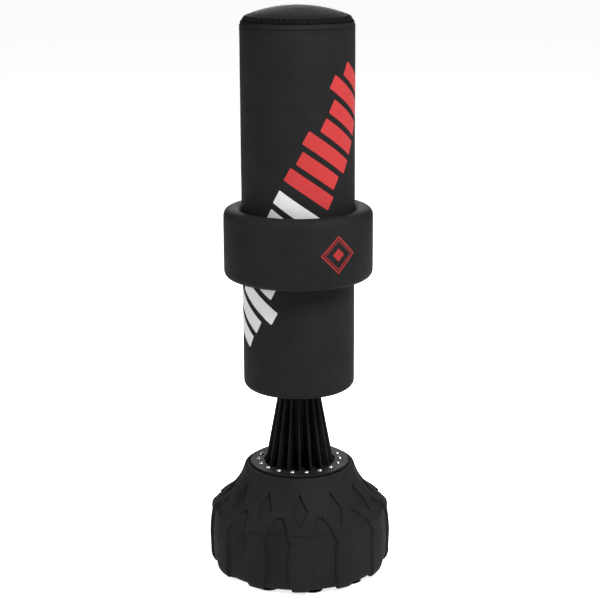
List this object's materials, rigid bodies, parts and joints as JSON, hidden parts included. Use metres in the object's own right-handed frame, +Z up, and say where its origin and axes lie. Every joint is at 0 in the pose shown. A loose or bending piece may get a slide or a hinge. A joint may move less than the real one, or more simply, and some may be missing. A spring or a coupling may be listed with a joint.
{
  "type": "free-standing punch bag",
  "caption": "Padded punch bag with a sliding padded collar on a sprung, finned rubber neck over a fillable treaded base with suction cups.",
  "frame": {"origin": "on the floor, under the middle of the base", "axes": "+Z up along the bag's axis, -Y out of the front of the bag, +X to the right seen from the front"},
  "size_m": [0.5484, 0.5484, 1.69],
  "materials": {
    "base_plastic": "satin moulded black",
    "cap_plastic": "satin moulded black",
    "clamp_black": "satin black powder coat",
    "screw_steel": "brushed",
    "insert_brass": "turned",
    "plate_steel": "black primer",
    "spring_steel": "oiled dark spring steel",
    "boot_rubber": "satin rubber",
    "cup_rubber": "glossy soft rubber",
    "seal_rubber": "soft rubber",
    "tube_plastic": "extruded grey plastic",
    "socket_plastic": "moulded",
    "foam": "closed-cell foam",
    "cover_leather": "grained synthetic leather",
    "collar_leather": "grained synthetic leather",
    "zip_tape": "woven",
    "zip_teeth": "moulded",
    "zip_metal": "black"
  },
  "bodies": {
    "base": {"base_shell": "base_plastic", "filler_seal": "seal_rubber", "suction_cups": "cup_rubber", "cup_studs": "screw_steel", "cup_inserts": "insert_brass", "lower_spring_plate": "plate_steel", "lower_spring_seat": "plate_steel", "lower_seat_bolt": "screw_steel", "clamp_flange": "clamp_black", "flange_screws": "screw_steel", "flange_inserts": "insert_brass"},
    "filler_cap": {"filler_cap": "cap_plastic"},
    "neck": {"neck_boot": "boot_rubber", "coil_spring": "spring_steel"},
    "bag": {"upper_spring_seat": "plate_steel", "bag_plate": "plate_steel", "upper_seat_bolt": "screw_steel", "tube_base_cap": "socket_plastic", "plate_bolts": "screw_steel", "inner_tube": "tube_plastic", "tube_top_cap": "socket_plastic", "foam_core": "foam", "base_pad": "foam", "top_pad": "foam", "cover_base": "cover_leather", "cover_sleeve": "cover_leather", "shoulder_band": "cover_leather", "zip_tape_lower": "zip_tape", "zip_tape_upper": "zip_tape", "zip_teeth": "zip_teeth", "top_panel": "cover_leather"},
    "zip_slider": {"zip_slider": "zip_metal"},
    "zip_pull": {"zip_pull": "zip_metal"},
    "collar": {"collar_cover": "collar_leather", "collar_foam": "foam"}
  },
  "joints": [
    {"name": "neck_pitch", "type": "hinge", "parent": "base", "child": "neck", "pos_m": [0, 0, 0.392], "axis": [1, 0, 0], "range_deg": [-25, 25], "stiffness_Nm_per_rad": 800, "deforming": ["neck_boot", "coil_spring"]},
    {"name": "neck_roll", "type": "hinge", "parent": "neck", "child": "bag", "pos_m": [0, 0, 0.508], "axis": [0, 1, 0], "range_deg": [-25, 25], "stiffness_Nm_per_rad": 800, "deforming": ["neck_boot", "coil_spring"]},
    {"name": "collar_slide", "type": "slide", "parent": "bag", "child": "collar", "axis": [0, 0, 1], "range_m": [-0.3, 0.5]},
    {"name": "filler_cap_turn", "type": "hinge", "parent": "base", "child": "filler_cap", "pos_m": [0, 0.212, 0.29], "axis": [0, 0, 1], "continuous": true},
    {"name": "zip_travel", "type": "hinge", "parent": "bag", "child": "zip_slider", "pos_m": [0, 0, 1.6538], "axis": [0, 0, 1], "range_deg": [0, 340]},
    {"name": "zip_pull_swing", "type": "hinge", "parent": "zip_slider", "child": "zip_pull", "pos_m": [0, 0.16119, 1.65909], "axis": [1, 0, 0], "range_deg": [0, 150]}
  ]
}
